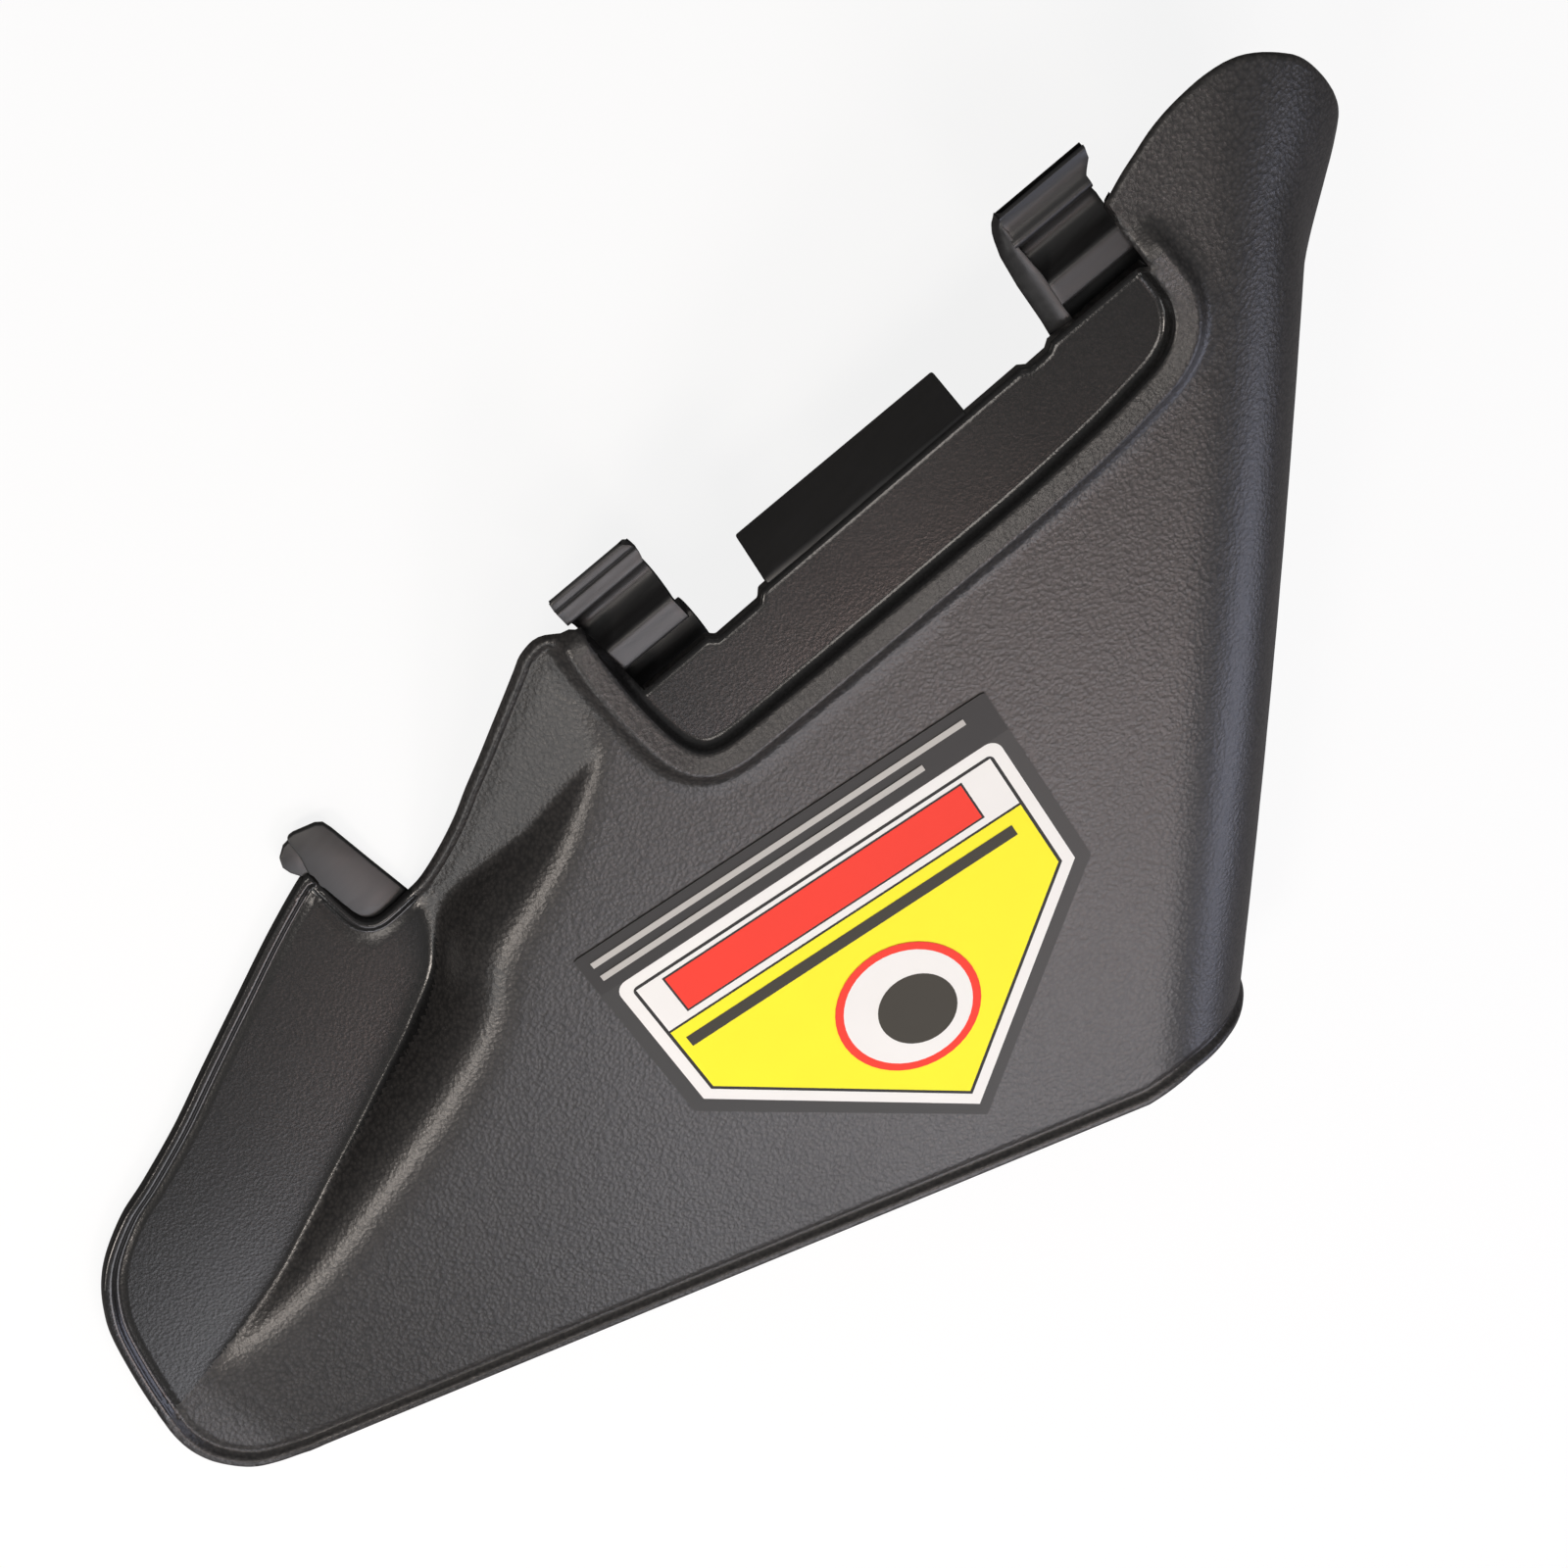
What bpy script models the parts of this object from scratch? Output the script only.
"""Side discharge chute for a walk-behind mower, as one moulding with its label film.

Units are metres with +Z up. The moulding is drawn in its own frame: X runs along the
hinge, Y points to the mower deck, Z stands on the flat main face, and the origin is on
the main face by the left hook. At the end it is laid on its flange and its front wall.
"""

import math

import bmesh
import bpy
from mathutils import Matrix, Vector

# Sheet and stance
WALL = 0.0025
FACE_SLOPE = 11.0
TOE_X = -0.195

# Outlet edge, the straight lower edge of the main face
OUTLET_START = (-0.192, -0.1122)
OUTLET_LENGTH = 0.2516
OUTLET_ANGLE = -19.68

# Front wall, which runs down from the main face over a round shoulder
SHOULDER = 0.033
WALL_ANGLE = 52.3
WALL_LENGTH = 0.208
WALL_BOW = 0.0014
DRAFT = 0.002

# Rim bead round the outlet and the flange
BEAD_HEIGHT = 0.0015
BEAD_WIDTH = 0.0032

# Steep band between the main face and the flange
CREST_ROUND = 0.009

# Plane of the neck's ramp: its height at the origin, and its rise along X and Y
RAMP_HEIGHT = 0.0057
RAMP_ALONG = 0.42
RAMP_ACROSS = -0.207

# Rim of the ear, as places in plan from the front wall's far end, with heights
EAR_RIM = (
    (-0.0311, 0.0394, 0.0),
    (-0.0121, 0.0442, 0.001),
    (0.0054, 0.0334, -0.004),
    (0.0104, 0.0140, -0.016),
    (-0.0001, -0.0056, -0.034),
)
EAR_FOOT = (-0.0101, -0.0196)

# Recessed hinge panel. Its right side stands off the front wall's far end
PANEL_LEFT = -0.0075
PANEL_TO_WALL_END = 0.0431
PANEL_EDGE = -0.012
PANEL_DEPTH = 0.0265
PANEL_LIP = 0.005
RIDGE_RADIUS = 0.0026
RIDGE_CORNER = 0.013

# Shallow notches in the panel's edge, each as its two ends, from the nearer side of the
# panel, and its depth
LEFT_NOTCH = (0.0180, 0.0335, 0.0018)
RIGHT_NOTCH = (0.0330, 0.0245, 0.0012)
NOTCH_SLANT = 0.0015

# Hinge hooks, each as its two ends, from the nearer side of the panel, and how far its tip
# reaches past the rod's channel
LEFT_HOOK = (-0.0020, 0.0173, 0.0072)
RIGHT_HOOK = (0.0224, 0.0006, 0.0094)
HOOK_SHEET = 0.003
ROD_RADIUS = 0.0065
TIP_START = 0.003
TIP_END = 0.003

# Centre tab
TAB_WIDTH = 0.054
TAB_START = 0.028
TAB_DROP = 0.02

# Where the main face's rails end beside the deck, on the cut side of the panel's edge: one
# from the panel's left side, and one from its right side
LEFT_DECK = (0.0525, 0.008)
RIGHT_DECK = (0.0170, 0.001)

# Label film
LABEL_WIDTH = 0.1086
LABEL_TOP = 0.0115
LABEL_SIDE = 0.0398
LABEL_POINT = 0.0865
LABEL_PLACE = (-0.0078, -0.0714)
LABEL_TURN = -6.6
LABEL_THICKNESS = 0.0004
LABEL_GAP = 0.0003

# Rows of the shell, as shares of the way from the outlet to the deck
ROWS = (0.0, 0.16, 0.30, 0.44, 0.56, 0.66, 0.74, 0.82, 0.90, 0.96, 1.0)
CORNER_ROW = 5

# Rails of the flange, as shares of the way from its rim to the band's foot
FLANGE_SHARES = (0.14, 0.42, 0.72)


def slope():
    return math.radians(FACE_SLOPE)


def flange_height(x):
    """Height of the flange's upper face below the main face, at a place along the hinge."""
    return -(x - TOE_X) * math.tan(slope())


def ground_height(x):
    """Height of the plane that the flange and the front wall stand on."""
    return flange_height(x) - WALL / math.cos(slope())


def on_flange(x, y):
    """A point of the lower surface: the flange, or the ramp that rises from it up the neck."""
    ramp = RAMP_HEIGHT + RAMP_ALONG * x + RAMP_ACROSS * y
    return Vector((x, y, max(flange_height(x), ramp)))


def on_face(x, y, height=0.0):
    return Vector((x, y, height))


def outlet_point(share):
    """A point of the outlet edge, by its share of the way from the toe to the front wall."""
    turn = math.radians(OUTLET_ANGLE)
    reach = OUTLET_LENGTH * share
    return on_face(OUTLET_START[0] + reach * math.cos(turn), OUTLET_START[1] + reach * math.sin(turn))


def through(points):
    """Cage points whose smoothed curve passes through the points given, with its ends kept."""
    cage = [point.copy() for point in points]
    for _ in range(20):
        for index in range(1, len(points) - 1):
            cage[index] = (points[index] * 6 - cage[index - 1] - cage[index + 1]) / 4
    return cage


def outer_edge():
    """The flange's rim from the toe to the flange's end, then the edge of the notch and neck."""
    rim = (
        (-0.2090, -0.0849),
        (-0.2010, -0.0572),
        (-0.1853, -0.0369),
        (-0.1470, -0.0234),
        (-0.1130, -0.0103),
        (-0.0939, -0.0036),
    )
    neck = (
        (-0.0932, -0.0268),
        (-0.0805, -0.0285),
        (-0.0610, -0.0162),
        (-0.0400, -0.0026),
        (-0.0241, 0.0058),
    )
    rim = through([on_flange(x, y) for x, y in rim])
    return [*rim, *[on_flange(x, y) for x, y in neck]]


def band_foot():
    """The foot of the steep band, along the flange, then the crease up the neck's ramp."""
    plan = (
        (-0.1720, -0.0870),
        (-0.1500, -0.0755),
        (-0.1300, -0.0660),
        (-0.1150, -0.0590),
        (-0.1040, -0.0530),
        (-0.0920, -0.0465),
        (-0.0760, -0.0380),
        (-0.0550, -0.0305),
        (-0.0280, -0.0195),
        (-0.0172, 0.0086),
    )
    return [outlet_point(0.0), *[on_flange(x, y) for x, y in plan]]


def band_crest():
    """The rounded upper edge of the steep band, which fades out up the neck."""
    plan = (
        (-0.1640, -0.0965),
        (-0.1430, -0.0840),
        (-0.1220, -0.0720),
        (-0.1070, -0.0630),
        (-0.0960, -0.0565),
        (-0.0835, -0.0495),
        (-0.0670, -0.0410),
        (-0.0465, -0.0310),
        (-0.0205, -0.0175),
    )
    return [outlet_point(0.035), *[on_face(x, y) for x, y in plan], on_flange(-0.0140, 0.0088)]


def toe_curve():
    """The rounded toe, from the flange's rim to the outlet edge."""
    plan = ((-0.2088, -0.0925), (-0.2058, -0.1015), (-0.1990, -0.1085))
    toe = [outer_edge()[0], *[on_flange(x, y) for x, y in plan], outlet_point(0.0)]
    return through(toe)[1:-1]


def wall_frame():
    """The front wall's start, its direction and its outward normal, in plan."""
    turn = math.radians(WALL_ANGLE)
    along = Vector((math.cos(turn), math.sin(turn), 0.0))
    outward = Vector((math.sin(turn), -math.cos(turn), 0.0))
    return outlet_point(1.0), along, outward


def wall_end():
    """The far end of the front wall, below the ear."""
    start, along, _ = wall_frame()
    return start + along * WALL_LENGTH


def panel_right():
    return wall_end().x - PANEL_TO_WALL_END


def deck_points():
    """Where the two rails of the main face end beside the deck."""
    left = on_face(PANEL_LEFT + LEFT_DECK[0], LEFT_DECK[1])
    return left, on_face(panel_right() - RIGHT_DECK[0], RIGHT_DECK[1])


def straight(start, end):
    return [start.lerp(end, share) for share in ROWS]


def flange_rails(left, right, start):
    """Rails between the outer edge and the band's foot. They begin on the curve of the toe."""
    rails = []
    for share, toe in zip(FLANGE_SHARES, start):
        rail = []
        for row, place in enumerate(ROWS):
            point = left[row].lerp(right[row], share)
            point += (toe - left[0].lerp(right[0], share)) * (1.0 - place) ** 2
            rail.append(on_flange(point.x, point.y))
        rails.append(rail)
    return rails


def wall_rail(inset, height, ear, drop=False):
    """A rail beside the front wall. It follows the wall and ends on the ear at the deck."""
    start, along, outward = wall_frame()
    turn = math.radians(OUTLET_ANGLE)
    edge = Vector((math.cos(turn), math.sin(turn), 0.0))
    rail = []
    for share in ROWS[:-1]:
        point = start + along * (WALL_LENGTH * share)
        point -= outward * inset if share else edge * inset
        point += outward * (WALL_BOW * 4.0 * share * (1.0 - share))
        depth = ground_height(point.x) * height if drop else -height
        point += outward * (DRAFT * height if drop else 0.0)
        rail.append(Vector((point.x, point.y, depth)))
    return [*rail, ear]


def ear_points():
    """The rim of the ear, from the main face over the shoulder and down the front wall."""
    end = wall_end()
    foot = end + Vector((*EAR_FOOT, 0.0))
    foot.z = ground_height(foot.x)
    rim = through([deck_points()[-1], *[end + Vector(place) for place in EAR_RIM], foot])
    return rim[1:]


def shell_rails():
    """Every rail of the shell, from the flange rim round to the foot of the front wall."""
    rim = outer_edge()
    foot = band_foot()
    crest = band_crest()
    flange = flange_rails(rim, foot, toe_curve())
    inner = [point + Vector((CREST_ROUND * 0.6, -CREST_ROUND * 0.8, 0.0)) for point in crest]
    inner[0] = outlet_point(0.075)
    inner[-1] = on_face(-0.0088, 0.0066)
    places = (0.33, 0.68)
    face = [straight(outlet_point(share), end) for share, end in zip(places, deck_points())]
    ear = ear_points()
    front = [
        wall_rail(SHOULDER, 0.0, ear[0]),
        wall_rail(SHOULDER * 0.60, SHOULDER * 0.06, ear[1]),
        wall_rail(SHOULDER * 0.17, SHOULDER * 0.33, ear[2]),
        wall_rail(0.0, SHOULDER, ear[3]),
        wall_rail(0.0, 0.8, ear[4], drop=True),
        wall_rail(0.0, 1.0, ear[5], drop=True),
    ]
    return [rim, *flange, foot, crest, inner, *face, *front]


def bead_direction(rail, count):
    """The way that the rim bead stands out, which turns from up to outward over the shoulder."""
    outward = wall_frame()[2]
    lean = max(0, rail - (count - 6)) / 3.0
    angle = min(1.0, lean) * math.pi / 2
    return Vector((0, 0, 1)) * math.cos(angle) + outward * math.sin(angle)


def shell_cage():
    """The coarse grid of the outer surface, with two more rows for the rim bead."""
    rails = shell_rails()
    grid = []
    for index, rail in enumerate(rails):
        fade = min(1.0, max(0, index - 1) / 2.0)
        outward = bead_direction(index, len(rails)) * BEAD_HEIGHT * fade
        way = (rail[1] - rail[0]).normalized()
        edge = [
            rail[0] + outward,
            rail[0] + way * BEAD_WIDTH + outward,
            rail[0] + way * BEAD_WIDTH * 1.7,
        ]
        grid.append([*edge, *rail[1:]])
    return grid


def mesh_object(name, mesh, collection):
    made = bpy.data.objects.new(name, mesh)
    collection.objects.link(made)
    return made


def shell_object(name, collection):
    """The moulding's sheet: the cage, smoothed, and given its thickness inward."""
    grid = shell_cage()
    rows = len(grid[0])
    points = [point for rail in grid for point in rail]
    faces = []
    for rail in range(len(grid) - 1):
        for row in range(rows - 1):
            first = rail * rows + row
            faces.append((first, first + rows, first + rows + 1, first + 1))
    mesh = bpy.data.meshes.new(name)
    mesh.from_pydata(points, [], faces)
    mesh.update()
    corner = mesh.attributes.new("crease_vert", "FLOAT", "POINT")
    corner.data[CORNER_ROW + rows - len(ROWS)].value = 1.0
    shell = mesh_object(name, mesh, collection)
    smooth = shell.modifiers.new("Smooth form", "SUBSURF")
    smooth.levels = 2
    smooth.render_levels = 2
    smooth.boundary_smooth = "PRESERVE_CORNERS"
    sheet = shell.modifiers.new("Sheet", "SOLIDIFY")
    sheet.thickness = WALL
    sheet.offset = -1.0
    sheet.use_even_offset = False
    return shell


def helper(made):
    made.hide_render = True
    made.display_type = "WIRE"
    return made


def prism(name, outline, low, high, axes, collection):
    """A closed solid: an outline in two axes, drawn out along the third between two places."""
    mesh = bpy.data.meshes.new(name)
    shape = bmesh.new()
    third = ({0, 1, 2} - set(axes)).pop()
    corners = []
    for first, second in outline:
        place = [0.0, 0.0, 0.0]
        place[axes[0]], place[axes[1]], place[third] = first, second, low
        corners.append(shape.verts.new(place))
    base = shape.faces.new(corners)
    drawn = bmesh.ops.extrude_face_region(shape, geom=[base])
    moved = [item for item in drawn["geom"] if isinstance(item, bmesh.types.BMVert)]
    way = Vector((0.0, 0.0, 0.0))
    way[third] = high - low
    bmesh.ops.translate(shape, verts=moved, vec=way)
    bmesh.ops.recalc_face_normals(shape, faces=shape.faces)
    shape.to_mesh(mesh)
    shape.free()
    return mesh_object(name, mesh, collection)


def box(name, low, high, collection):
    """A plain block between two opposite corners."""
    shape = bmesh.new()
    size = Vector([end - start for start, end in zip(low, high)])
    middle = Vector([(start + end) / 2 for start, end in zip(low, high)])
    bmesh.ops.create_cube(shape, size=1.0, matrix=Matrix.LocRotScale(middle, None, size))
    mesh = bpy.data.meshes.new(name)
    shape.to_mesh(mesh)
    shape.free()
    return mesh_object(name, mesh, collection)


def arc(centre, radius, start, end, steps):
    """Points of an arc in degrees, both ends included."""
    points = []
    for step in range(steps + 1):
        turn = math.radians(start + (end - start) * step / steps)
        points.append((centre[0] + radius * math.cos(turn), centre[1] + radius * math.sin(turn)))
    return points


def rod_centre():
    """Where the hinge rod runs through the hooks, across the hinge and in height."""
    return PANEL_EDGE + HOOK_SHEET + ROD_RADIUS + 0.0035, -ROD_RADIUS * 0.35


def hook_profile():
    """The hook in side view: an apron under the panel, then an open channel for the rod."""
    rod = rod_centre()
    inner = arc(rod, ROD_RADIUS, 200, 350, 8)
    outer = arc(rod, ROD_RADIUS + HOOK_SHEET, 350, 250, 6)
    low = rod[1] - ROD_RADIUS - HOOK_SHEET
    groove = low + HOOK_SHEET
    return [
        (PANEL_EDGE - WALL, -WALL / 2),
        (PANEL_EDGE, -WALL / 2),
        (PANEL_EDGE, groove),
        (rod[0] - ROD_RADIUS - HOOK_SHEET * 0.5, groove),
        (rod[0] - ROD_RADIUS - HOOK_SHEET * 0.5, inner[0][1]),
        *inner,
        (rod[0] + ROD_RADIUS, 0.0),
        (rod[0] + ROD_RADIUS + HOOK_SHEET, 0.0),
        *outer,
        (PANEL_EDGE - WALL, low),
    ]


def hooks(collection):
    """The two hinge hooks, one at each end of the panel, each with its flat tip."""
    edge = rod_centre()[0] + ROD_RADIUS
    right = panel_right()
    places = (
        (PANEL_LEFT + LEFT_HOOK[0], PANEL_LEFT + LEFT_HOOK[1], LEFT_HOOK[2]),
        (right - RIGHT_HOOK[0], right - RIGHT_HOOK[1], RIGHT_HOOK[2]),
    )
    made = []
    for number, (start, end, reach) in enumerate(places, 1):
        low = (start + TIP_START, edge, -HOOK_SHEET * 0.8)
        high = (end + TIP_END, edge + reach, 0.0)
        made.append(helper(prism(f"hook_{number}", hook_profile(), start, end, (1, 2), collection)))
        made.append(helper(box(f"hook_tip_{number}", low, high, collection)))
    return made


def panel_edge(left, right):
    """The panel's free edge in plan, from left to right, with its shallow notches."""
    edge = [(left, PANEL_EDGE)]
    side = panel_right()
    notches = (
        (PANEL_LEFT + LEFT_NOTCH[0], PANEL_LEFT + LEFT_NOTCH[1], LEFT_NOTCH[2]),
        (side - RIGHT_NOTCH[0], side - RIGHT_NOTCH[1], RIGHT_NOTCH[2]),
    )
    for start, end, depth in notches:
        edge += [
            (start, PANEL_EDGE),
            (start + NOTCH_SLANT, PANEL_EDGE - depth),
            (end - NOTCH_SLANT, PANEL_EDGE - depth),
            (end, PANEL_EDGE),
        ]
    return [*edge, (right, PANEL_EDGE)]


def panel_lip(collection):
    """The turned-down edge of the panel, which stiffens it between the hooks."""
    edge = panel_edge(PANEL_LEFT - 0.001, panel_right() + 0.001)
    back = [(x, y - WALL) for x, y in reversed(edge)]
    return helper(prism("panel_lip", [*edge, *back], -PANEL_LIP, -WALL / 2, (0, 1), collection))


def centre_tab(collection):
    """The stop tab between the hooks: it leans out as it drops."""
    lean = TAB_DROP * 0.2
    outline = (
        (PANEL_EDGE - WALL, -WALL / 2),
        (PANEL_EDGE, -WALL / 2),
        (PANEL_EDGE, -PANEL_LIP),
        (PANEL_EDGE + lean, -TAB_DROP),
        (PANEL_EDGE + lean - WALL, -TAB_DROP - WALL * 0.2),
        (PANEL_EDGE - WALL, -PANEL_LIP),
    )
    return helper(prism("centre_tab", outline, TAB_START, TAB_START + TAB_WIDTH, (1, 2), collection))


def ridge_route():
    """The raised ridge in plan: down from the left hook, along the panel and up at its right."""
    left = PANEL_LEFT - 0.0035
    right = panel_right() + 0.0020
    low = PANEL_EDGE - PANEL_DEPTH
    small = RIDGE_CORNER
    large = RIDGE_CORNER * 1.6
    return [
        (left, 0.0055),
        *arc((left + small, low + small), small, 180, 270, 6),
        *arc((right - large, low + large), large, 270, 360, 8),
        (right, -0.003),
    ]


def ridge(collection):
    """The rounded ridge round the panel, as a swept round bar that stands half out."""
    curve = bpy.data.curves.new("ridge", "CURVE")
    curve.dimensions = "3D"
    curve.bevel_depth = RIDGE_RADIUS
    curve.bevel_resolution = 2
    curve.use_fill_caps = True
    line = curve.splines.new("POLY")
    route = ridge_route()
    line.points.add(len(route) - 1)
    for point, (x, y) in zip(line.points, route):
        point.co = (x, y, RIDGE_RADIUS * 0.15, 1.0)
    swept = bpy.data.objects.new("ridge_path", curve)
    collection.objects.link(swept)
    graph = bpy.context.evaluated_depsgraph_get()
    mesh = bpy.data.meshes.new_from_object(swept.evaluated_get(graph))
    bpy.data.objects.remove(swept)
    return helper(mesh_object("ridge", mesh, collection))


def flange_tongue(collection):
    """The smooth tongue in the notch between the flange's end and the neck."""
    outline = (
        (-0.0950, -0.0060),
        (-0.0934, 0.0028),
        (-0.0889, 0.0047),
        (-0.0825, 0.0021),
        (-0.0808, -0.0002),
        (-0.0812, -0.0285),
        (-0.0950, -0.0310),
    )
    made = prism("flange_tongue", outline, 0.0, WALL * 0.75, (0, 1), collection)
    shear = Matrix.Identity(4)
    shear[2][0] = -math.tan(slope())
    shear[2][3] = ground_height(0.0)
    made.data.transform(shear)
    return helper(made)


def panel_opening(collection):
    """What is cut from the shell beyond the panel's edge."""
    right = panel_right()
    outline = [*panel_edge(PANEL_LEFT, right), (right, 0.04), (PANEL_LEFT, 0.04)]
    return helper(prism("panel_opening", outline, -0.03, 0.02, (0, 1), collection))


def combine(target, other, operation):
    step = target.modifiers.new(other.name, "BOOLEAN")
    step.operation = operation
    step.solver = "EXACT"
    step.object = other


def material(name, colour, roughness):
    made = bpy.data.materials.new(name)
    made.use_nodes = True
    shader = made.node_tree.nodes["Principled BSDF"]
    shader.inputs["Base Color"].default_value = (*colour, 1.0)
    shader.inputs["Roughness"].default_value = roughness
    shader.inputs["Metallic"].default_value = 0.0
    made.diffuse_color = (*colour, 1.0)
    return made


def label_film(collection):
    """The label: a thin five-sided film just clear of the main face."""
    half = LABEL_WIDTH / 2
    outline = ((-half, LABEL_TOP), (-half, -LABEL_SIDE), (0.0, -LABEL_POINT), (half, -LABEL_SIDE), (half, LABEL_TOP))
    made = prism("label_film", outline, LABEL_GAP, LABEL_GAP + LABEL_THICKNESS, (0, 1), collection)
    turn = Matrix.Rotation(math.radians(LABEL_TURN), 4, "Z")
    made.data.transform(Matrix.Translation((*LABEL_PLACE, 0.0)) @ turn)
    made.data.materials.append(material("label film", (0.80, 0.72, 0.05), 0.35))
    return made


def lay_down(pieces):
    """Turns the moulding so that its flange and front wall stand on the ground, and centres it."""
    turn = Matrix.Rotation(-slope(), 4, "Y")
    for piece in pieces:
        piece.matrix_world = turn
    bpy.context.view_layer.update()
    graph = bpy.context.evaluated_depsgraph_get()
    corners = []
    for piece in pieces:
        evaluated = piece.evaluated_get(graph)
        corners += [evaluated.matrix_world @ vertex.co for vertex in evaluated.data.vertices]
    low = [min(corner[axis] for corner in corners) for axis in range(3)]
    high = [max(corner[axis] for corner in corners) for axis in range(3)]
    shift = Vector((-(low[0] + high[0]) / 2, -(low[1] + high[1]) / 2, -low[2]))
    frame = bpy.data.objects.new("moulding_frame", None)
    bpy.data.collections["side_discharge_chute"].objects.link(frame)
    frame.matrix_world = Matrix.Translation(shift) @ turn
    return frame


def main():
    for old in list(bpy.data.objects):
        bpy.data.objects.remove(old)
    scene = bpy.context.scene
    visible = bpy.data.collections.new("side_discharge_chute")
    cutters = bpy.data.collections.new("chute_construction")
    scene.collection.children.link(visible)
    scene.collection.children.link(cutters)

    chute = shell_object("chute", visible)
    chute.data.materials.append(material("black polypropylene", (0.033, 0.034, 0.036), 0.55))
    opening = panel_opening(cutters)
    combine(chute, opening, "DIFFERENCE")
    features = [panel_lip(cutters), *hooks(cutters), centre_tab(cutters), ridge(cutters), flange_tongue(cutters)]
    for feature in features:
        combine(chute, feature, "UNION")
    label = label_film(visible)

    frame = lay_down([chute, label])
    for piece in (chute, label, opening, *features):
        piece.matrix_world = Matrix.Identity(4)
        piece.parent = frame


main()
